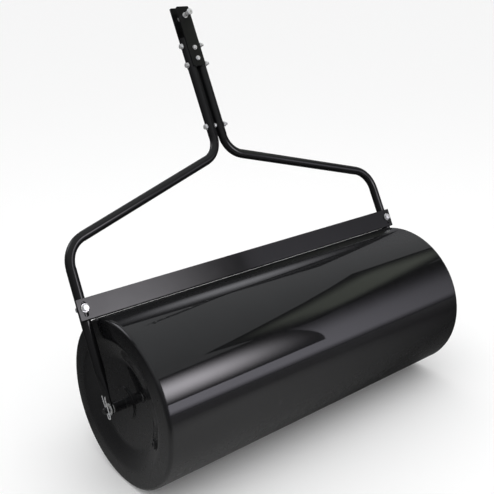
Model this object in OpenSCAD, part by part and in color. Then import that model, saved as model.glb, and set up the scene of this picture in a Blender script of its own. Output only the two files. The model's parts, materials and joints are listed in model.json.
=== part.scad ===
// Towed lawn roller: a closed steel drum turning on a through axle, a tow frame of two bent tubes,
// an adjustable scraper bar and a pinned two-plate hitch.
// Millimetres. +X is the towing direction, +Y is left, +Z is up.
// The origin is the middle of the line where the drum rests on the ground.

/* [Drum] */
// Outside diameter of the drum
drum_d = 435; // [400:1:470]
// Overall length of the drum across its end caps
drum_w = 1059; // [900:1:1200]
// Thickness of the rolled shell and the pressed end caps
sheet_t = 3; // [2:0.5:4]
// Radius of the rounded shoulder of each end cap
shoulder_r = 9; // [5:0.5:30]
// Depth of the dished middle of each end cap
dish_depth = 18; // [8:1:30]
// Radius where the dish starts to fall from the outer ring
dish_r_out = 176; // [160:1:185]
// Radius of the flat middle of the dish
dish_r_in = 112; // [90:1:125]

/* [Axle] */
// Diameter of the axle rod
axle_d = 16; // [14:0.5:18]
// Outside diameter of the sleeve that carries the axle through the drum
sleeve_d = 26.9; // [26:0.1:30]
// Radial running clearance on the axle
running = 0.08; // [0.05:0.01:0.1]

/* [Tow frame] */
// Angle of the tow frame above the ground, at rest
frame_angle = 63; // [0:1:90]
// Outside diameter of the frame tube
tube_d = 26; // [24:0.5:28]
// Wall of the frame tube
tube_wall = 2; // [1.5:0.5:3]
// Distance from the axle to the corner of the lower bend
bend1_x = 405.1; // [340:0.1:450]
// Distance from the axle to the corner of the upper bend
bend2_x = 560; // [540:5:600]
// Angle the tube turns through at the lower bend
bend1_turn = 72.5; // [70:0.1:75]
// Angle the tube turns through at the upper bend
bend2_turn = 73.7; // [70:0.1:75]
// Half the distance between the two parallel tube runs
run_y = 16.3; // [16:0.05:20]
// Distance from the axle to the top ends of the tubes
tube_end_x = 900; // [890:1:930]

/* [Scraper bar] */
// Overall length of the scraper bar
bar_len = 1134; // [1125:1:1150]
// Width of the face of the scraper bar
bar_face = 55.5; // [50:0.5:60]
// Depth of the folded lip of the scraper bar
bar_lip = 25; // [15:1:30]
// Gap between the lip and the drum
scrape_gap = 0.5; // [0.5:0.1:4]

/* [Hitch] */
// Width of the two hitch plates
plate_w = 42; // [38:1:50]
// Thickness of the two hitch plates
plate_t = 4; // [3:0.5:6]
// Distance from the axle to the hitch pin
pin_x = 962; // [950:1:970]
// Diameter of the hitch pin
pin_d = 12; // [10:0.5:13]

/* [Hidden] */
$fn = 96;
eps = 0.01;
lap = 0.06;
paint = "#1b1c1f";
zinc = "#c9ccd0";
nylon = "#2a2a2b";
rubber = "#222222";
dark_steel = "#26272a";

drum_r = drum_d / 2;
cap_y = drum_w / 2;
seam_y = cap_y - shoulder_r;
dish_y = cap_y - dish_depth;
ring_r = drum_r - shoulder_r;
dish_soft = 12;
dish_steps = 4;
dish_slope = dish_depth / (dish_r_out - dish_r_in - dish_soft);

sleeve_wall = 2;
sleeve_r = sleeve_d / 2;
sleeve_proud = 35.5;
sleeve_y = dish_y + sleeve_proud;
axle_r = axle_d / 2;
bush_len = 32;
bush_flange_t = 2;
hub_plate_r = 42;
hub_plate_t = 4;
bend1_y = run_y + (bend2_x - bend1_x) * tan(bend2_turn);
axle_y = bend1_y + bend1_x * tan(bend2_turn - bend1_turn);
paddle_t = 4;
paddle_w = 30;
paddle_in = axle_y - paddle_t / 2;
paddle_out = axle_y + paddle_t / 2;
axle_washer_t = 2.5;
thrust_washer_t = 2;
clip_y = paddle_out + 8.5;
axle_end_y = paddle_out + 17;
clip_wire = 3.2;

// The filler sits on the falling part of the left dish, behind the axle.
filler_r = 144;
filler_turn = 197.6;
filler_len = 16;
filler_d = 30;
plug_d = 20;
plug_head_d = 23;

tube_r = tube_d / 2;
bend1_r = 75;
bend2_r = 65;
bend_draw = 0.4;
taper_from = 30;
taper_to = 95;

bar_t = 3;
bar_fold_r = 4;
bar_play = 0.1;
bar_in_z = tube_r + bar_play;
bar_out_z = bar_in_z + bar_t;
bar_x = drum_r + scrape_gap;
slot_len = 38;
slot_w = 11;
slot_from_edge = 10;
slot_x = bar_x + slot_from_edge + slot_len / 2;
scraper_bolt_x = slot_x + 3;
lip_end_y = 523;

// Distance from the middle to the frame tube, at a distance x along its straight leg
function leg_y(x) = axle_y + (bend1_y - axle_y) * x / bend1_x;
scraper_bolt_y = leg_y(scraper_bolt_x);

plate_start = 813;
plate_end_upper = 989;
plate_end_lower = 997;
plate_z = tube_r;
clamp_x = [640, 822.5, 878];
hitch_bolt_x = [835, 866.5];
pin_head_d = 17;
pin_top_z = 46;
pin_clip_z = -plate_z - plate_t - 6;
m6 = 6;
m8 = 8;
m10 = 10;
fit_gap = 0.2;

// --- Places ---

module on_axle() translate([0, 0, drum_r]) children();

// Local +Z points out of the drum's end: side 1 is left (+Y), side -1 is right (-Y).
module at_end(side) on_axle() rotate([-90 * side, 0, 0]) children();

// Local +X runs from the axle to the hitch in the plane of the tow frame.
module in_frame() on_axle() rotate([0, -frame_angle, 0]) children();

// Local +Z runs along the frame's sideways direction, outwards on the given side.
module across(side) rotate([-90 * side, 0, 0]) children();

// --- Shapes that repeat ---

module ring(r_out, r_in, h) {
    difference() {
        cylinder(r = r_out, h = h);
        translate([0, 0, -1]) cylinder(r = r_in, h = h + 2);
    }
}

module washer(d, r_out, t) ring(r_out, d / 2 + fit_gap, t);

// Head above z = 0 and shank below it
module hex_bolt(d, len, across_flats) {
    head_h = d * 0.65;
    union() {
        cylinder(d = across_flats / cos(30), h = head_h, $fn = 6);
        translate([0, 0, -len]) cylinder(d = d, h = len + eps);
    }
}

module hex_nut(d, across_flats, h) {
    difference() {
        cylinder(d = across_flats / cos(30), h = h, $fn = 6);
        translate([0, 0, -1]) cylinder(d = d + 0.04, h = h + 2);
    }
}

// Round rod between two points of the XY plane, taking in the end of the bend at either end
module rod_run(a, b, d) {
    step = b - a;
    translate([a[0], a[1], 0]) rotate([0, 0, atan2(step[1], step[0])])
        translate([-lap, 0, 0]) rotate([0, 90, 0]) cylinder(d = d, h = norm(step) + 2 * lap);
}

// Round rod turning about a point of the XY plane
module rod_bend(centre, r, start, turn, d) {
    translate([centre[0], centre[1], 0]) rotate([0, 0, start])
        rotate_extrude(angle = turn, $fn = 180) translate([r, 0]) circle(d = d);
}

// Hairpin in the XY plane: one straight leg along X through the origin, a loop at the -X end,
// and a second leg beside it, clear of a shaft of the given diameter.
module hairpin(shaft_d, leg_len, loop_x) {
    gap_y = shaft_d / 2 + clip_wire / 2 + 0.6;
    loop_r = gap_y / 2;
    flare = 20;
    flare_r = 10;
    short_x = leg_len - loop_x - 14;
    bend_c = [short_x, gap_y + flare_r];
    tip = bend_c + flare_r * [sin(flare), -cos(flare)];
    union() {
        rod_run([-loop_x, 0], [leg_len - loop_x, 0], clip_wire);
        rod_bend([-loop_x, loop_r], loop_r, 90, 180, clip_wire - lap);
        rod_run([-loop_x, gap_y], [short_x, gap_y], clip_wire);
        rod_bend(bend_c, flare_r, 270, flare, clip_wire - lap);
        rod_run(tip, tip + 7 * [cos(flare), sin(flare)], clip_wire);
    }
}

// --- Drum ---

module drum_shell() {
    color(paint) at_end(1) translate([0, 0, -seam_y]) ring(drum_r, drum_r - sheet_t, 2 * seam_y);
}

// Height of the end cap's outer face above the drum's middle, at radius r
function dish_h(r) =
    let (a = r - dish_r_in, b = dish_r_out - r)
    a <= 0 ? dish_y :
    b <= 0 ? cap_y :
    a < dish_soft ? dish_y + dish_slope * a * a / (2 * dish_soft) :
    b < dish_soft ? cap_y - dish_slope * b * b / (2 * dish_soft) :
    dish_y + dish_slope * (a - dish_soft / 2);

// Pressed end cap: a flat outer ring with a dished middle, turned down into a rounded shoulder
module end_cap() {
    steps = [for (i = [0 : dish_steps]) dish_soft * i / dish_steps];
    falling = concat([for (a = steps) dish_r_in + a],
        [for (a = steps) dish_r_out - dish_soft + a]);
    bore_r = sleeve_r + eps;
    outer = [for (r = falling) [r, dish_h(r)]];
    inner = [for (i = [len(falling) - 1 : -1 : 0])
        [falling[i], dish_h(falling[i]) - sheet_t]];
    web = concat([[bore_r, dish_y]], outer, [[ring_r, cap_y], [ring_r, cap_y - sheet_t]],
        inner, [[bore_r, dish_y - sheet_t]]);
    union() {
        rotate_extrude() polygon(web);
        rotate_extrude() intersection() {
            translate([ring_r, seam_y]) difference() {
                circle(r = shoulder_r);
                circle(r = shoulder_r - sheet_t);
            }
            translate([ring_r, seam_y]) square(shoulder_r + 1);
        }
    }
}

// Local +Z is the filler's axis, and z = 0 is on the dish's outer face.
module at_filler() {
    lean = atan(dish_slope);
    at_end(1) rotate([0, 0, -filler_turn]) translate([filler_r, 0, dish_h(filler_r)])
        rotate([0, -lean, 0]) children();
}

module end_cap_left() {
    color(paint) difference() {
        at_end(1) end_cap();
        at_filler() translate([0, 0, -30]) cylinder(d = filler_d + 2 * eps, h = 60);
    }
}

module end_cap_right() {
    color(paint) at_end(-1) end_cap();
}

module axle_sleeve() {
    color(paint) at_end(1) translate([0, 0, -sleeve_y])
        ring(sleeve_r, sleeve_r - sleeve_wall, 2 * sleeve_y);
}

module hub_plate(side) {
    color(paint) at_end(side) translate([0, 0, dish_y + eps])
        ring(hub_plate_r, sleeve_r + eps, hub_plate_t);
}

module bush(side) {
    bore_r = axle_r + running;
    color(nylon) at_end(side) difference() {
        union() {
            translate([0, 0, sleeve_y - bush_len])
                cylinder(r = sleeve_r - sleeve_wall - 0.02, h = bush_len + eps);
            translate([0, 0, sleeve_y + eps]) cylinder(r = sleeve_r - 0.5, h = bush_flange_t);
        }
        translate([0, 0, sleeve_y - bush_len - 1]) cylinder(r = bore_r, h = bush_len + 6);
    }
}

module filler_socket() {
    color(paint) at_filler() translate([0, 0, 1 - filler_len])
        ring(filler_d / 2, plug_d / 2 + 0.1, filler_len);
}

module fill_plug() {
    socket_depth = 5;
    color(dark_steel) at_filler() difference() {
        union() {
            translate([0, 0, 2.1]) cylinder(d = plug_head_d, h = 2.4);
            translate([0, 0, -12]) cylinder(d = plug_d, h = 15);
        }
        translate([0, 0, 4.6 - socket_depth]) cylinder(d = 10 / cos(30), h = 6, $fn = 6);
    }
}

module plug_seal() {
    color(rubber) at_filler() translate([0, 0, 1.05]) ring(11.2, plug_d / 2 + 0.1, 1);
}

// --- Axle ---

module axle() {
    chamfer = 1.5;
    color(paint) difference() {
        at_end(1) union() {
            translate([0, 0, chamfer - axle_end_y]) cylinder(r = axle_r, h = 2 * (axle_end_y - chamfer));
            for (k = [0, 1]) mirror([0, 0, k]) translate([0, 0, axle_end_y - chamfer - eps])
                cylinder(r1 = axle_r, r2 = axle_r - chamfer, h = chamfer);
        }
        for (side = [-1, 1]) in_frame() translate([-axle_r - 2, side * clip_y, 0])
            rotate([0, 90, 0]) cylinder(d = clip_wire + 0.5, h = axle_d + 4, $fn = 48);
    }
}

module thrust_washers() {
    start_y = sleeve_y + bush_flange_t + 0.3;
    color(zinc) for (side = [-1, 1]) at_end(side) translate([0, 0, start_y])
        washer(axle_d, 13, thrust_washer_t);
}

module axle_washers() {
    color(zinc) for (side = [-1, 1]) at_end(side) translate([0, 0, paddle_out + 0.3])
        washer(axle_d, 15, axle_washer_t);
}

module axle_clip(side) {
    color(zinc) in_frame() translate([0, side * clip_y, 0]) rotate([90, 0, 0])
        hairpin(axle_d, 54, 17);
}

// --- Tow frame ---

// The left tube as a solid rod of diameter d: x runs along the frame and y is outwards.
// The tube draws in a little where it is bent.
module bent_rod(d, start_x, end_x) {
    heading1 = bend1_turn - bend2_turn;
    heading2 = -bend2_turn;
    cut1 = bend1_r * tan(bend1_turn / 2);
    cut2 = bend2_r * tan(bend2_turn / 2);
    dir1 = [cos(heading1), sin(heading1)];
    dir2 = [cos(heading2), sin(heading2)];
    in1 = [bend1_x, bend1_y] - dir1 * cut1;
    out1 = [bend1_x, bend1_y] + dir2 * cut1;
    in2 = [bend2_x, run_y] - dir2 * cut2;
    out2 = [bend2_x + cut2, run_y];
    bend_d = d - 2 * bend_draw;
    union() {
        rod_run([0, axle_y] + dir1 * start_x, in1, d);
        rod_bend(in1 + bend1_r * [dir1[1], -dir1[0]], bend1_r, 90 + heading2, bend1_turn, bend_d);
        rod_run(out1, in2, d);
        rod_bend(out2 + [0, bend2_r], bend2_r, 270 + heading2, bend2_turn, bend_d);
        rod_run(out2, [end_x, run_y], d);
    }
}

// The tube's lower end is pressed flat and rounded off around the axle.
module flattened_end() {
    union() {
        hull() {
            translate([0, axle_y, 0]) rotate([0, 0, bend1_turn - bend2_turn])
                translate([taper_to - 1, 0, 0])
                rotate([0, 90, 0]) cylinder(d = tube_d - 0.3, h = 2, $fn = 48);
            translate([taper_from - 1, axle_y - paddle_t / 2, -paddle_w / 2])
                cube([1, paddle_t, paddle_w]);
        }
        translate([0, axle_y - paddle_t / 2, -paddle_w / 2])
            cube([taper_from - 0.5, paddle_t, paddle_w]);
        translate([0, axle_y + paddle_t / 2, 0]) rotate([90, 0, 0])
            cylinder(d = paddle_w, h = paddle_t);
    }
}

module frame_tube(side) {
    color(paint) in_frame() mirror([0, side > 0 ? 0 : 1, 0]) difference() {
        union() {
            difference() {
                bent_rod(tube_d, taper_to - 0.2, tube_end_x);
                bent_rod(tube_d - 2 * tube_wall, taper_to + 6, tube_end_x + 5);
            }
            flattened_end();
        }
        translate([0, axle_y + 5, 0]) rotate([90, 0, 0]) cylinder(r = axle_r + 0.1, h = 10);
        translate([scraper_bolt_x, scraper_bolt_y, -tube_d])
            cylinder(d = m10 + 2 * fit_gap, h = 2 * tube_d);
        for (x = clamp_x) translate([x, run_y + tube_d, 0]) rotate([90, 0, 0])
            cylinder(d = m8 + 2 * fit_gap, h = 2 * tube_d);
    }
}

// --- Scraper bar ---

// Section of the folded bar: x is across its face and y is away from the drum's axle plane.
module bar_section() {
    lip_tip = bar_out_z - bar_lip;
    inner_r = bar_fold_r - bar_t;
    fold = [bar_x + bar_fold_r, bar_out_z - bar_fold_r];
    union() {
        translate([fold[0], bar_in_z]) square([bar_face - bar_fold_r, bar_t]);
        translate([bar_x, lip_tip]) square([bar_t, fold[1] - lip_tip]);
        intersection() {
            translate(fold) difference() {
                circle(r = bar_fold_r);
                circle(r = inner_r);
            }
            translate([bar_x, fold[1]]) square([bar_fold_r, bar_fold_r]);
        }
    }
}

module scraper_bar() {
    color(paint) in_frame() difference() {
        translate([0, bar_len / 2, 0]) rotate([90, 0, 0]) linear_extrude(bar_len) bar_section();
        for (side = [-1, 1]) {
            translate([bar_x - 1, side > 0 ? lip_end_y : -bar_len, bar_out_z - bar_lip - 1])
                cube([bar_face, bar_len - lip_end_y, bar_lip + 1 - bar_t - bar_play]);
            slot_hole(side);
        }
    }
}

module slot_hole(side) {
    reach = (slot_len - slot_w) / 2;
    translate([slot_x, side * scraper_bolt_y, bar_in_z - 5]) union() {
        for (end = [-1, 1]) translate([end * reach, 0, 0]) cylinder(d = slot_w, h = 15);
        translate([-reach, -slot_w / 2, 0]) cube([2 * reach, slot_w, 15]);
    }
}

// Places a fastener at each end of the bar, with local +Z out of its face.
module at_scraper_bolts(z) {
    in_frame() for (side = [-1, 1]) translate([scraper_bolt_x, side * scraper_bolt_y, z])
        children();
}

scraper_washer_t = 2;
scraper_head_z = bar_out_z + bar_play + scraper_washer_t;

module scraper_bolts() {
    color(zinc) at_scraper_bolts(scraper_head_z + eps) hex_bolt(m10, 46, 16);
}

module scraper_washers() {
    color(zinc) {
        at_scraper_bolts(bar_out_z + bar_play) washer(m10, 10.5, scraper_washer_t);
        at_scraper_bolts(-tube_r - scraper_washer_t - eps) washer(m10, 10.5, scraper_washer_t);
    }
}

module scraper_nuts() {
    nut_h = 8;
    color(zinc) at_scraper_bolts(-tube_r - scraper_washer_t - nut_h - 2 * eps)
        hex_nut(m10, 16, nut_h);
}

// --- Hitch ---

module hitch_plate(end_x, z) {
    corner_r = 4;
    len = end_x - plate_start;
    color(paint) in_frame() difference() {
        translate([plate_start, -plate_w / 2, z]) linear_extrude(plate_t) union() {
            translate([0, corner_r]) square([len, plate_w - 2 * corner_r]);
            translate([corner_r, 0]) square([len - 2 * corner_r, plate_w]);
            for (x = [corner_r, len - corner_r], y = [corner_r, plate_w - corner_r])
                translate([x, y]) circle(r = corner_r);
        }
        for (x = hitch_bolt_x) translate([x, 0, z - 1])
            cylinder(d = m6 + 2 * fit_gap, h = plate_t + 2);
        translate([pin_x, 0, z - 1]) cylinder(d = pin_d + 0.6, h = plate_t + 2);
    }
}

module hitch_plate_upper() {
    hitch_plate(plate_end_upper, plate_z + eps);
}

module hitch_plate_lower() {
    hitch_plate(plate_end_lower, -plate_z - plate_t - eps);
}

module at_hitch_bolts(z) {
    in_frame() for (x = hitch_bolt_x) translate([x, 0, z]) children();
}

plate_top_z = plate_z + plate_t + 2 * eps;
m6_washer_t = 1.6;
m6_nut_h = 5;
m8_washer_t = 1.6;
m8_nut_h = 6.5;

// The two bolts through the plates pass between the tubes, so they are thinner than the clamp bolts.
module hitch_bolts() {
    color(zinc) at_hitch_bolts(plate_top_z + m6_washer_t + eps) hex_bolt(m6, 48, 10);
}

module hitch_washers() {
    color(zinc) for (z = [plate_top_z, -plate_top_z - m6_washer_t])
        at_hitch_bolts(z) washer(m6, 6.5, m6_washer_t);
}

module hitch_nuts() {
    color(zinc) at_hitch_bolts(-plate_top_z - m6_washer_t - m6_nut_h - eps)
        hex_nut(m6, 10, m6_nut_h);
}

// Places a fastener at each clamp bolt, with local +Z out of the left or right tube.
module at_clamp_bolts(side, out) {
    in_frame() for (x = clamp_x) translate([x, 0, 0]) across(side) translate([0, 0, out])
        children();
}

pair_y = run_y + tube_r;

module clamp_bolts() {
    color(zinc) at_clamp_bolts(1, pair_y + m8_washer_t + 2 * eps) hex_bolt(m8, 76, 13);
}

module clamp_washers() {
    color(zinc) for (side = [-1, 1]) at_clamp_bolts(side, pair_y + eps)
        washer(m8, 8, m8_washer_t);
}

module clamp_nuts() {
    color(zinc) at_clamp_bolts(-1, pair_y + m8_washer_t + 2 * eps) hex_nut(m8, 13, m8_nut_h);
}

module tube_spacers() {
    half = run_y - tube_r - 0.05;
    color(zinc) at_clamp_bolts(1, -half) ring(6.2, m8 / 2 + fit_gap, 2 * half);
}

// --- Hitch pin ---

module hitch_pin() {
    seat_z = plate_z + plate_t + 0.3;
    tip_z = -plate_z - plate_t - 16;
    color(zinc) in_frame() translate([pin_x, 0, 0]) difference() {
        union() {
            translate([0, 0, tip_z + 2]) cylinder(d = pin_d, h = pin_top_z - tip_z - 4);
            translate([0, 0, tip_z]) cylinder(d1 = pin_d - 4, d2 = pin_d, h = 2 + eps);
            translate([0, 0, seat_z]) cylinder(d = pin_d + 4, h = 2.5);
            translate([0, 0, pin_top_z - 4]) cylinder(d = pin_head_d, h = 3);
            translate([0, 0, pin_top_z - 1 - eps])
                cylinder(d1 = pin_head_d, d2 = pin_head_d - 3, h = 1);
        }
        translate([-pin_d, 0, pin_clip_z]) rotate([0, 90, 0])
            cylinder(d = clip_wire + 0.5, h = 2 * pin_d, $fn = 48);
    }
}

module hitch_pin_clip() {
    color(zinc) in_frame() translate([pin_x, 0, pin_clip_z]) rotate([0, 0, 180])
        hairpin(pin_d, 44, 14);
}

// --- Nodes ---

drum_shell();
end_cap_left();
end_cap_right();
axle_sleeve();
hub_plate(1);  // hub_plate_left
hub_plate(-1);  // hub_plate_right
bush(1);  // bush_left
bush(-1);  // bush_right
filler_socket();
fill_plug();
plug_seal();
axle();
thrust_washers();
axle_washers();
axle_clip(1);  // axle_clip_left
axle_clip(-1);  // axle_clip_right
frame_tube(1);  // frame_tube_left
frame_tube(-1);  // frame_tube_right
scraper_bar();
scraper_bolts();
scraper_washers();
scraper_nuts();
hitch_plate_upper();
hitch_plate_lower();
hitch_bolts();
hitch_washers();
hitch_nuts();
clamp_bolts();
clamp_washers();
clamp_nuts();
tube_spacers();
hitch_pin();
hitch_pin_clip();
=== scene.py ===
import json
import math

import bpy
import bmesh
from mathutils import Matrix, Vector


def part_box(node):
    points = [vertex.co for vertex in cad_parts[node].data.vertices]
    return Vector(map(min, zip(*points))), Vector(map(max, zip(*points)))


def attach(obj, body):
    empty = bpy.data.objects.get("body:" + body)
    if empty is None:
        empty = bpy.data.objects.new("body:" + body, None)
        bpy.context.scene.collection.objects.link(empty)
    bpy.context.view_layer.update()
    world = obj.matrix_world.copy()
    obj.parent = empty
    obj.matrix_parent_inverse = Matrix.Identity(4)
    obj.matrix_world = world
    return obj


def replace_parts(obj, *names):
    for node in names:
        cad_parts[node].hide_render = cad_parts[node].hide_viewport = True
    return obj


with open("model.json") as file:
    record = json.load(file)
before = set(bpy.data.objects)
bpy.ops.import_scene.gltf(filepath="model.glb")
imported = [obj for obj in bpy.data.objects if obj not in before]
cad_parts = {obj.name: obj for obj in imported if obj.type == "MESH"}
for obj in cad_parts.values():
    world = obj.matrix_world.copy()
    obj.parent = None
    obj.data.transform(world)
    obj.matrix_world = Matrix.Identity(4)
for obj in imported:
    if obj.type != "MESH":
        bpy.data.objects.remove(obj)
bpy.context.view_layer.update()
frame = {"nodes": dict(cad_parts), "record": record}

MM = 0.001
FULL_TURN = 2 * math.pi


# --- Places -------------------------------------------------------------------------------------

# The tow frame lies in a plane that runs from the axle up to the hitch.
AXLE_Z = 217.5 * MM
TILT = math.radians(63.0)
ALONG = Vector((math.cos(TILT), 0, math.sin(TILT)))
OUT_OF_PLANE = Vector((-math.sin(TILT), 0, math.cos(TILT)))
SIDE = Vector((0, 1, 0))
AXLE = Vector((0, 0, AXLE_Z))


def in_frame(x, y, z):
    """A point of the tow frame, from millimetres along it, to the left, and out of its plane."""
    return AXLE + (ALONG * x + SIDE * y + OUT_OF_PLANE * z) * MM


# --- Materials ----------------------------------------------------------------------------------

EDGE_SAMPLES = 4


def set_stops(ramp, stops):
    """Gives a colour ramp its stops, of a place and a colour each."""
    ends = ramp.color_ramp.elements
    for end, (at, colour) in ((ends[0], stops[0]), (ends[1], stops[-1])):
        end.position, end.color = at, (*colour, 1)
    for at, colour in stops[1:-1]:
        ends.new(at).color = (*colour, 1)


class Nodes:
    """A material, with short ways to add nodes to it."""

    def __init__(self, name):
        self.mat = bpy.data.materials.new(name)
        self.mat.use_nodes = True
        self.tree = self.mat.node_tree
        self.bsdf = self.tree.nodes["Principled BSDF"]
        self.coord = self.add("ShaderNodeTexCoord").outputs["Object"]

    def add(self, kind, **settings):
        node = self.tree.nodes.new(kind)
        for key, value in settings.items():
            setattr(node, key, value)
        return node

    def link(self, a, b):
        self.tree.links.new(a, b)

    def set(self, **values):
        for key, value in values.items():
            self.bsdf.inputs[key.replace("_", " ")].default_value = value

    def noise(self, scale, detail=3.0, roughness=0.5):
        node = self.add("ShaderNodeTexNoise")
        node.inputs["Scale"].default_value = scale
        node.inputs["Detail"].default_value = detail
        node.inputs["Roughness"].default_value = roughness
        self.link(self.coord, node.inputs["Vector"])
        return node.outputs["Fac"]

    def span(self, value, low, high, start=0.3, end=0.7):
        """Low to high, as the value goes from start to end."""
        node = self.add("ShaderNodeMapRange")
        limits = {"From Min": start, "From Max": end, "To Min": low, "To Max": high}
        for key, number in limits.items():
            node.inputs[key].default_value = number
        self.link(value, node.inputs["Value"])
        return node.outputs["Result"]

    def vary(self, entry, value, low, high):
        """Lets an entry of the shader go from low to high with a pattern."""
        self.link(self.span(value, low, high), self.bsdf.inputs[entry])

    def multiply(self, *values):
        node = self.add("ShaderNodeMath", operation="MULTIPLY")
        for slot, value in zip(node.inputs, values):
            if isinstance(value, (int, float)):
                slot.default_value = value
            else:
                self.link(value, slot)
        return node.outputs[0]

    def tone(self, value, stops):
        """Colours the base with a ramp."""
        node = self.add("ShaderNodeValToRGB")
        set_stops(node, stops)
        self.link(value, node.inputs["Fac"])
        self.link(node.outputs["Color"], self.bsdf.inputs["Base Color"])

    def bump(self, height, strength, distance, normal=None):
        node = self.add("ShaderNodeBump")
        node.inputs["Strength"].default_value = strength
        node.inputs["Distance"].default_value = distance
        self.link(height, node.inputs["Height"])
        if normal is not None:
            self.link(normal, node.inputs["Normal"])
        return node.outputs["Normal"]

    def soft_edge(self, radius):
        node = self.add("ShaderNodeBevel", samples=EDGE_SAMPLES)
        node.inputs["Radius"].default_value = radius
        return node.outputs["Normal"]


def gloss_paint(name, colour, under_rough, coat_rough, peel, edge, coat=1.0):
    """Sprayed enamel: a dark body under a clear gloss with a faint orange peel and faint dust."""
    m = Nodes(name)
    dusty = tuple(c * 1.4 + 0.0008 for c in colour)
    dust = m.noise(scale=9.0, detail=6.0, roughness=0.62)
    patches = m.noise(scale=38.0, detail=4.0)
    m.tone(dust, [(0.35, colour), (0.8, dusty)])
    m.vary("Roughness", patches, low=under_rough * 0.85, high=under_rough * 1.2)
    m.set(Coat_Weight=coat, Coat_IOR=1.5, Specular_IOR_Level=0.08)
    m.vary("Coat Roughness", dust, low=coat_rough * 0.7, high=coat_rough * 1.5)
    rounded = m.soft_edge(edge)
    swells, grain = m.noise(scale=5.5, detail=1.0), m.noise(scale=420.0, detail=1.0)
    wave = m.bump(swells, strength=0.5, distance=peel * 1.2, normal=rounded)
    skin = m.bump(grain, strength=0.2, distance=peel * 0.02, normal=wave)
    m.link(skin, m.bsdf.inputs["Coat Normal"])
    m.link(rounded, m.bsdf.inputs["Normal"])
    return m.mat


def plated(name, colour, rough, grain, edge):
    """Bright zinc plate: cool metal with fine grain and slightly cloudy patches."""
    m = Nodes(name)
    cloud = m.noise(scale=95.0, detail=4.0, roughness=0.6)
    warm = tuple(c * share for c, share in zip(colour, (0.93, 0.91, 0.86)))
    bright = tuple(min(c * 1.08, 1) for c in colour)
    m.tone(cloud, [(0.32, warm), (0.6, colour), (0.85, bright)])
    m.set(Metallic=0.72)
    m.vary("Roughness", cloud, low=rough * 0.75, high=rough * 1.3)
    skin = m.bump(m.noise(grain), strength=0.25, distance=0.06 * MM, normal=m.soft_edge(edge))
    m.link(skin, m.bsdf.inputs["Normal"])
    return m.mat


def moulded(name, colour, rough):
    """Moulded nylon or rubber with a fine skin."""
    m = Nodes(name)
    pale = tuple(c * 1.12 for c in colour)
    m.tone(m.noise(scale=60.0), [(0.3, colour), (0.8, pale)])
    m.set(Roughness=rough)
    skin = m.bump(m.noise(scale=900.0, detail=2.0), strength=0.3, distance=0.08 * MM)
    m.link(skin, m.bsdf.inputs["Normal"])
    return m.mat


DRUM_BLACK = (0.0024, 0.0024, 0.0028)
FRAME_BLACK = (0.0026, 0.0026, 0.0029)
BAR_BLACK = (0.0034, 0.0034, 0.0037)
AXLE_BLACK = (0.004, 0.004, 0.0044)
ZINC = (0.74, 0.75, 0.77)
SPRING_ZINC = (0.7, 0.71, 0.73)
NYLON_BLACK = (0.018, 0.018, 0.018)
RUBBER_BLACK = (0.012, 0.012, 0.012)

LOOK = {
    "drum_paint": gloss_paint("drum_enamel", DRUM_BLACK, under_rough=0.32, coat_rough=0.022,
                              peel=0.3 * MM, edge=1.2 * MM),
    "frame_paint": gloss_paint("frame_enamel", FRAME_BLACK, under_rough=0.35, coat_rough=0.05,
                               peel=0.3 * MM, edge=0.8 * MM, coat=0.6),
    "bar_paint": gloss_paint("bar_enamel", BAR_BLACK, under_rough=0.36, coat_rough=0.1,
                             peel=0.3 * MM, edge=0.9 * MM, coat=0.45),
    "axle_steel": gloss_paint("axle_coating", AXLE_BLACK, under_rough=0.4, coat_rough=0.2,
                              peel=0.2 * MM, edge=0.4 * MM),
    "zinc_steel": plated("bright_zinc", ZINC, rough=0.3, grain=600.0, edge=0.4 * MM),
    "spring_steel": plated("zinc_spring_wire", SPRING_ZINC, rough=0.24, grain=900.0, edge=0.2 * MM),
    "bush_nylon": moulded("nylon_bush", NYLON_BLACK, rough=0.4),
    "seal_rubber": moulded("rubber_seal", RUBBER_BLACK, rough=0.7),
}


# --- CAD nodes: finish and smooth shading -------------------------------------------------------

MERGE_WITHIN = 0.002 * MM
REAL_EDGE = math.radians(32)


def edge_shading():
    """Geometry nodes that join the faces of a node and keep only its real edges sharp."""
    group = bpy.data.node_groups.new("real_edges", "GeometryNodeTree")
    group.interface.new_socket("Geometry", in_out="INPUT", socket_type="NodeSocketGeometry")
    group.interface.new_socket("Geometry", in_out="OUTPUT", socket_type="NodeSocketGeometry")
    add, link = group.nodes.new, group.links.new
    enter, leave = add("NodeGroupInput"), add("NodeGroupOutput")
    merge = add("GeometryNodeMergeByDistance")
    merge.inputs["Distance"].default_value = MERGE_WITHIN
    faces, edges = add("GeometryNodeSetShadeSmooth"), add("GeometryNodeSetShadeSmooth")
    faces.domain, edges.domain = "FACE", "EDGE"
    angle, below = add("GeometryNodeInputMeshEdgeAngle"), add("FunctionNodeCompare")
    below.operation = "LESS_THAN"
    below.inputs[1].default_value = REAL_EDGE
    link(enter.outputs[0], merge.inputs["Geometry"])
    link(merge.outputs[0], faces.inputs["Geometry"])
    link(faces.outputs[0], edges.inputs["Geometry"])
    link(angle.outputs["Unsigned Angle"], below.inputs[0])
    link(below.outputs[0], edges.inputs["Shade Smooth"])
    link(edges.outputs[0], leave.inputs[0])
    return group


REAL_EDGES = edge_shading()


def smooth(obj):
    mod = obj.modifiers.new("real_edges", "NODES")
    mod.node_group = REAL_EDGES


slots = {part["node"]: part["material_slot"] for part in frame["record"]["subparts"]}
for name, node in frame["nodes"].items():
    node.data.materials.clear()
    node.data.materials.append(LOOK[slots[name]])
    with bpy.context.temp_override(object=node, active_object=node, selected_objects=[node]):
        bpy.ops.mesh.customdata_custom_splitnormals_clear()
    smooth(node)


# --- Pieces made here ---------------------------------------------------------------------------


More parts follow.
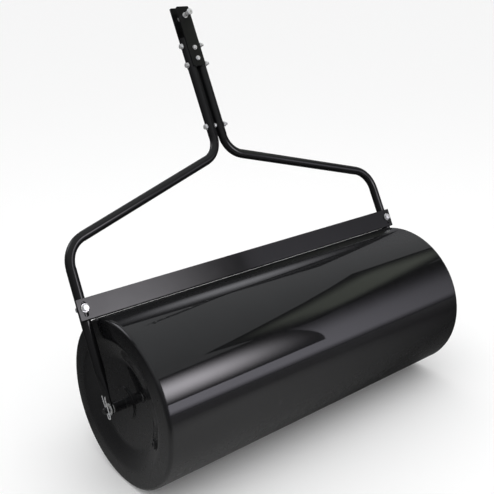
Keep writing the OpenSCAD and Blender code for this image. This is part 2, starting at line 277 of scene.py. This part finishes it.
def piece(name, mesh, body, slot_name):
    obj = bpy.data.objects.new(name, mesh)
    bpy.context.scene.collection.objects.link(obj)
    mesh.materials.append(LOOK[slot_name])
    smooth(obj)
    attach(obj, body)
    return obj


def join_rings(bm, low, high):
    count = len(low)
    for i in range(count):
        j = (i + 1) % count
        bm.faces.new((low[i], low[j], high[j], high[i]))


def skin_of_rings(bm, rings, last_to_first=False):
    """Joins rings of points, each a closed loop, into a surface. Returns the rings' vertices."""
    made = [[bm.verts.new(point) for point in ring] for ring in rings]
    pairs = list(zip(made, made[1:]))
    if last_to_first:
        pairs.append((made[-1], made[0]))
    for low, high in pairs:
        join_rings(bm, low, high)
    return made


def finished(bm, name):
    bmesh.ops.recalc_face_normals(bm, faces=bm.faces)
    mesh = bpy.data.meshes.new(name)
    bm.to_mesh(mesh)
    bm.free()
    return mesh


# --- Weld beads ---------------------------------------------------------------------------------

HUB_PLATE_BEAD = {"radius": 42.3 * MM, "width": 1.5 * MM, "ripples": 56}
SLEEVE_BEAD = {"radius": 14.0 * MM, "width": 1.5 * MM, "ripples": 22}
SHELL_BEAD = {"radius": 216.95 * MM, "width": 0.6 * MM, "ripples": 240}
STEPS_A_RIPPLE = 6
POINTS_ROUND_BEAD = 8
# Shares of the bead's width: how proud it stands, and how much it swells.
PROUD_SHARE = 0.7
RIPPLE_SWELL = 0.16
UNEVEN_SWELL = 0.05
UNEVEN_WAVES = 7


def weld_bead(bm, side, depth, radius, width, ripples):
    """A rippled weld bead round the axle's line, at a depth out from the drum's middle.

    side is 1 at the drum's left end and -1 at its right, and also shifts the uneven swell.
    """
    face_out = Vector((0, side, 0)).to_track_quat("Z", "Y").to_matrix().to_4x4()
    place = Matrix.Translation((0, side * depth, AXLE_Z)) @ face_out
    steps = ripples * STEPS_A_RIPPLE
    rings = []
    for k in range(steps):
        a = FULL_TURN * k / steps
        ripple = RIPPLE_SWELL * abs(math.sin(a * ripples / 2))
        uneven = UNEVEN_SWELL * math.sin(UNEVEN_WAVES * a + side)
        thick = width * (1 + ripple + uneven)
        ring = []
        for j in range(POINTS_ROUND_BEAD):
            b = FULL_TURN * j / POINTS_ROUND_BEAD
            r = radius + thick * math.cos(b)
            proud = PROUD_SHARE * thick * math.sin(b)
            ring.append(place @ Vector((r * math.cos(a), r * math.sin(a), proud)))
        rings.append(ring)
    skin_of_rings(bm, rings, last_to_first=True)


def weld_beads(name, beads):
    """One piece on the drum, with each bead at both its ends."""
    bm = bmesh.new()
    for side in (1, -1):
        for depth, bead in beads:
            weld_bead(bm, side, depth, **bead)
    piece(name, finished(bm, name), "drum", "drum_paint")


hub_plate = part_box("hub_plate_left")
CAP_FACE, PLATE_FACE = hub_plate[0][1], hub_plate[1][1]
SHELL_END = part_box("drum_shell")[1][1]
weld_beads("hub_weld_beads", [(CAP_FACE, HUB_PLATE_BEAD), (PLATE_FACE, SLEEVE_BEAD)])
weld_beads("drum_seam_beads", [(SHELL_END, SHELL_BEAD)])


# --- Threaded fasteners -------------------------------------------------------------------------

# Lengths in millimetres: thread diameter and pitch, width across the flats, and head height.
M6 = {"d": 6.0, "pitch": 1.0, "flats": 10.0, "head": 3.9}
M8 = {"d": 8.0, "pitch": 1.25, "flats": 13.0, "head": 5.2}
M10 = {"d": 10.0, "pitch": 1.5, "flats": 16.0, "head": 6.5}
SIZES = {"scraper": M10, "hitch": M6, "clamp": M8}
RING_STEPS = 48
THREAD_STEPS = 24
RINGS_A_PITCH = 6
FLAT_ANGLE = math.pi / 3
CORNER_SLOPE = math.tan(math.radians(30))
# The round land on a head or nut, as a share of its width across the flats.
LAND_SHARE = 0.95
# The thread's depth as a share of its pitch, and how much of it is left at the turned-down tip.
THREAD_DEPTH = 0.54
TIP_THREAD = 0.2
# Lengths in millimetres.
TIP_LENGTH = 1.2
TIP_DROP = 0.8
THREAD_GAP = 0.02
# The ring under a head where the shank comes out, as a share of the thread's diameter.
SHANK_RING = 0.9


def frame_islands(node_name):
    """The separate bodies of a node, each as its lowest and highest corners in frame millimetres."""
    bm = bmesh.new()
    bm.from_mesh(frame["nodes"][node_name].data)
    bmesh.ops.remove_doubles(bm, verts=bm.verts, dist=MERGE_WITHIN)
    seen, found = set(), []
    for start in bm.verts:
        if start in seen:
            continue
        seen.add(start)
        stack, points = [start], []
        while stack:
            vert = stack.pop()
            rel = vert.co - AXLE
            points.append([rel.dot(axis) / MM for axis in (ALONG, SIDE, OUT_OF_PLANE)])
            for edge in vert.link_edges:
                other = edge.other_vert(vert)
                if other not in seen:
                    seen.add(other)
                    stack.append(other)
        columns = list(zip(*points))
        found.append(([min(c) for c in columns], [max(c) for c in columns]))
    bm.free()
    return sorted(found)


def outward(axis):
    """A turn for a fastener whose flats follow the frame and whose head looks along the axis."""
    return Matrix((ALONG, axis.cross(ALONG), axis)).transposed().to_4x4()


def ring_of(place, radius_at, height_at, steps):
    """A loop of points, from a radius at each angle and a height at each radius."""
    ring = []
    for k in range(steps):
        a = FULL_TURN * k / steps
        r = radius_at(a)
        ring.append(place @ (Vector((r * math.cos(a), r * math.sin(a), height_at(r))) * MM))
    return ring


def round_ring(place, radius, height):
    return ring_of(place, lambda a: radius, lambda r: height, RING_STEPS)


def hex_body(bm, place, size, height, bore, both_ends):
    """A hexagon with its corners turned off, as on a real bolt head or nut."""
    flats = size["flats"]
    land = flats / 2 * LAND_SHARE

    def corner(a):
        return flats / 2 / math.cos(a % FLAT_ANGLE - FLAT_ANGLE / 2)

    def top(r):
        return height - max(r - land, 0) * CORNER_SLOPE

    def foot(r):
        return max(r - land, 0) * CORNER_SLOPE if both_ends else 0

    return skin_of_rings(bm, [
        round_ring(place, bore, 0),
        round_ring(place, land, 0),
        ring_of(place, corner, foot, RING_STEPS),
        ring_of(place, corner, top, RING_STEPS),
        round_ring(place, land, height),
        round_ring(place, bore, height),
    ])


def rod(bm, rings):
    """A rod's skin, closed at both ends."""
    made = skin_of_rings(bm, rings)
    bm.faces.new(reversed(made[0]))
    bm.faces.new(made[-1])


def threaded_rod(bm, place, size, start, end):
    """A helical thread between two heights, drawn as a wavy skin, with a turned-down tip."""
    depth = THREAD_DEPTH * size["pitch"]
    count = max(2, round((end - start) / size["pitch"] * RINGS_A_PITCH))
    rings = []
    for k in range(count + 1):
        z = start + (end - start) * k / count
        tip = max(0.0, 1 - (z - start) / TIP_LENGTH) * TIP_DROP
        cut = depth * (TIP_THREAD if tip > TIP_DROP / 2 else 1)

        def radius(a):
            phase = (z / size["pitch"] - a / FULL_TURN) % 1
            return size["d"] / 2 - tip - cut * (1 - abs(2 * phase - 1))

        rings.append(ring_of(place, radius, lambda r: z, THREAD_STEPS))
    rod(bm, rings)


def fasteners(node_name, axis, draw):
    """Draws a new fastener for each body of a node, and hides the node.

    draw is given the size, a place for each height along the axis, and the body's two ends.
    """
    size = SIZES[node_name.split("_")[0]]
    line = 1 if axis == SIDE else 2
    bm = bmesh.new()
    for low, high in frame_islands(node_name):
        def place_at(height):
            middle = [(a + b) / 2 for a, b in zip(low, high)]
            middle[line] = height
            return Matrix.Translation(in_frame(*middle)) @ outward(axis)

        draw(bm, size, place_at, low[line], high[line])
    name = node_name + "_cut"
    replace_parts(piece(name, finished(bm, name), "tow_frame", "zinc_steel"), node_name)


def bolts(node_name, axis, thread):
    """Bolts in place of a node's: a chamfered head, a plain shank and a threaded end."""
    def draw(bm, size, place_at, low, high):
        length = high - size["head"] - low
        place = place_at(high - size["head"])
        bore = size["d"] / 2 * SHANK_RING
        head = hex_body(bm, place, size, size["head"], bore, both_ends=False)
        bm.faces.new(head[-1])
        shank = size["d"] / 2 - THREAD_GAP
        rod(bm, [round_ring(place, shank, height) for height in (thread - length, 0)])
        threaded_rod(bm, place, size, -length, thread - length)

    fasteners(node_name, axis, draw)


def nuts(node_name, axis):
    """Nuts in place of a node's, chamfered on both faces."""
    def draw(bm, size, place_at, low, high):
        bore = size["d"] / 2 + THREAD_GAP
        rings = hex_body(bm, place_at(low), size, high - low, bore, both_ends=True)
        join_rings(bm, rings[-1], rings[0])

    fasteners(node_name, axis, draw)


bolts("scraper_bolts", OUT_OF_PLANE, thread=22)
bolts("hitch_bolts", OUT_OF_PLANE, thread=16)
bolts("clamp_bolts", SIDE, thread=20)
nuts("scraper_nuts", OUT_OF_PLANE)
nuts("hitch_nuts", OUT_OF_PLANE)
nuts("clamp_nuts", SIDE)


# --- Studio -------------------------------------------------------------------------------------

WHITE = (1, 1, 1, 1)
LILAC = (0.97, 0.95, 1.07)
WARM = (1.0, 0.97, 1.03)
GREEN = (0.92, 1.0, 0.84)
COOL = (0.98, 0.98, 1.04)
MIDDLE = Vector((0, 0, 0.3))
FLOOR_SIZE = 60
FLOOR_SEEN = 0.96
# Painted shade: for glossy rays the floor's colour is darkened with distance from the middle, and away
# from its lit side.
FLOOR_SHADE_BY_DISTANCE = {"low": 0.75, "start": 0.35, "high": 0.14, "end": 1.4}
FLOOR_SHADE_BY_SIDE = {"low": 0.12, "start": 0.0, "high": 1.0, "end": 0.7}
FLOOR_LIT_WAY = (-0.9, 0.45, 0)


def plane(name, width, height):
    mesh = bpy.data.meshes.new(name)
    x, y = width / 2, height / 2
    mesh.from_pydata([(-x, -y, 0), (x, -y, 0), (x, y, 0), (-x, y, 0)], [], [(0, 1, 2, 3)])
    obj = bpy.data.objects.new(name, mesh)
    bpy.context.scene.collection.objects.link(obj)
    return obj


def studio_floor():
    """Pale floor that takes a soft shadow, with painted shade in its colour for glossy rays, so it looks
    dimmer in the gloss than to the eye.
    """
    floor = plane("floor", FLOOR_SIZE, FLOOR_SIZE)
    m = Nodes("studio_floor")
    m.set(Roughness=0.7, Specular_IOR_Level=0.1)
    lit_side = m.add("ShaderNodeVectorMath", operation="DOT_PRODUCT")
    lit_side.inputs[1].default_value = FLOOR_LIT_WAY
    away = m.add("ShaderNodeVectorMath", operation="LENGTH")
    for node in (lit_side, away):
        m.link(m.coord, node.inputs[0])
    # Painted shade: the floor's colour for glossy rays is dimmed with distance and away from the lit
    # side.
    gloss_shade_by_distance = m.span(away.outputs["Value"], **FLOOR_SHADE_BY_DISTANCE)
    side = m.span(lit_side.outputs["Value"], **FLOOR_SHADE_BY_SIDE)
    painted_gloss_shade = m.multiply(gloss_shade_by_distance, side)
    path = m.add("ShaderNodeLightPath")
    mixed = m.add("ShaderNodeMix", data_type="FLOAT")
    mixed.inputs["A"].default_value = FLOOR_SEEN
    m.link(painted_gloss_shade, mixed.inputs["B"])
    m.link(path.outputs["Is Glossy Ray"], mixed.inputs["Factor"])
    colour = m.add("ShaderNodeCombineColor")
    for channel in ("Red", "Green", "Blue"):
        m.link(mixed.outputs["Result"], colour.inputs[channel])
    m.link(colour.outputs[0], m.bsdf.inputs["Base Color"])
    floor.data.materials.append(m.mat)


def aim(obj, at, target):
    obj.location = at
    obj.rotation_euler = (Vector(target) - Vector(at)).to_track_quat("-Z", "Y").to_euler()


def lamp(name, at, size, power):
    """A lamp that lights the object but is not seen in its gloss."""
    data = bpy.data.lights.new(name, "AREA")
    data.shape = "RECTANGLE"
    data.size, data.size_y = size
    data.energy = power
    obj = bpy.data.objects.new(name, data)
    bpy.context.scene.collection.objects.link(obj)
    aim(obj, at, MIDDLE)
    obj.visible_glossy = False


def glow_panel(name, azimuth, height, far, width, tall, colour, strength, sides, foot_top):
    """A soft-edged panel that is only seen in the gloss. Its place and size are angles in degrees,
    and far is its distance.

    sides and foot_top say what share of the panel each edge takes to come to full strength: its
    sides at low and high azimuth, and its foot and its top.
    """
    az, el = math.radians(azimuth), math.radians(height)
    at = Vector((math.cos(az) * math.cos(el), math.sin(az) * math.cos(el), math.sin(el))) * far
    size = [2 * far * math.tan(math.radians(angle) / 2) for angle in (width, tall)]
    panel = plane(name, *size)
    aim(panel, at + MIDDLE, MIDDLE)
    panel.visible_camera = False
    panel.visible_diffuse = False
    panel.visible_shadow = False
    m = Nodes(name)
    m.tree.nodes.remove(m.bsdf)
    split = m.add("ShaderNodeSeparateXYZ")
    m.link(m.add("ShaderNodeTexCoord").outputs["Generated"], split.inputs[0])
    level = strength
    for axis, (low, high) in (("X", sides), ("Y", foot_top)):
        for start, end in ((0, low), (1, 1 - high)):
            soft = m.add("ShaderNodeMapRange", interpolation_type="SMOOTHSTEP")
            soft.inputs["From Min"].default_value = start
            soft.inputs["From Max"].default_value = end
            m.link(split.outputs[axis], soft.inputs["Value"])
            level = m.multiply(level, soft.outputs["Result"])
    emit = m.add("ShaderNodeEmission")
    emit.inputs["Color"].default_value = (*colour, 1)
    m.link(level, emit.inputs["Strength"])
    m.link(emit.outputs[0], m.tree.nodes["Material Output"].inputs["Surface"])
    panel.data.materials.append(m.mat)


# The room in the gloss: a colour at each height, from level to straight up.
ROOM = [
    (0.0, (0.17, 0.17, 0.185)),
    (0.3, (0.2, 0.2, 0.21)),
    (0.7, (0.5, 0.51, 0.52)),
    (0.95, (0.66, 0.68, 0.7)),
]


def studio_world():
    """White to the camera, an even soft sky to matt surfaces, and a dim room in the gloss."""
    world = bpy.data.worlds.new("studio")
    bpy.context.scene.world = world
    world.use_nodes = True
    tree = world.node_tree
    tree.nodes.clear()
    add, link = tree.nodes.new, tree.links.new
    coord, split, ramp = (add("ShaderNode" + kind) for kind in ("TexCoord", "SeparateXYZ", "ValToRGB"))
    set_stops(ramp, ROOM)
    link(coord.outputs["Generated"], split.inputs[0])
    link(split.outputs["Z"], ramp.inputs["Fac"])
    room, sky = add("ShaderNodeBackground"), add("ShaderNodeBackground")
    link(ramp.outputs["Color"], room.inputs["Color"])
    sky.inputs["Color"].default_value = WHITE
    path, gloss, eye = add("ShaderNodeLightPath"), add("ShaderNodeMixShader"), add("ShaderNodeMixShader")
    link(path.outputs["Is Glossy Ray"], gloss.inputs["Fac"])
    link(sky.outputs[0], gloss.inputs[1])
    link(room.outputs[0], gloss.inputs[2])
    link(path.outputs["Is Camera Ray"], eye.inputs["Fac"])
    link(gloss.outputs[0], eye.inputs[1])
    link(sky.outputs[0], eye.inputs[2])
    link(eye.outputs[0], add("ShaderNodeOutputWorld").inputs["Surface"])


bpy.context.scene.view_settings.view_transform = "Standard"
studio_floor()
studio_world()
glow_panel("wall_glow", azimuth=-143, height=17, far=6.0, width=64, tall=42, colour=LILAC,
           strength=2.5, sides=(0.2, 0.75), foot_top=(0.2, 0.55))
glow_panel("window_glow", azimuth=-161.5, height=26.5, far=2.6, width=40, tall=32, colour=WARM,
           strength=7.4, sides=(0.4, 0.45), foot_top=(0.5, 0.5))
glow_panel("far_glow", azimuth=-113, height=41, far=6.0, width=34, tall=15, colour=GREEN,
           strength=0.7, sides=(0.3, 0.3), foot_top=(0.35, 0.35))
glow_panel("front_glow", azimuth=38, height=36, far=6.0, width=52, tall=30, colour=COOL,
           strength=2.6, sides=(0.4, 0.4), foot_top=(0.35, 0.35))
glow_panel("side_glow", azimuth=-38, height=27, far=6.0, width=30, tall=22, colour=COOL,
           strength=1.0, sides=(0.5, 0.5), foot_top=(0.5, 0.5))
lamp("overhead", at=(-0.6, 0.3, 3.2), size=(3.0, 2.4), power=20)


# --- Camera -------------------------------------------------------------------------------------

CAMERA_AT = (-1.4684, 1.3612, 1.2362)
CAMERA_AIM = (0.111, 0.031, 0.4772)
LENS_MM = 57.385
SENSOR_MM = 36
SEES_TO = 100

lens = bpy.data.cameras.new("camera")
lens.sensor_width = SENSOR_MM
lens.lens = LENS_MM
lens.clip_end = SEES_TO
camera = bpy.data.objects.new("camera", lens)
bpy.context.scene.collection.objects.link(camera)
aim(camera, CAMERA_AT, CAMERA_AIM)
bpy.context.scene.camera = camera
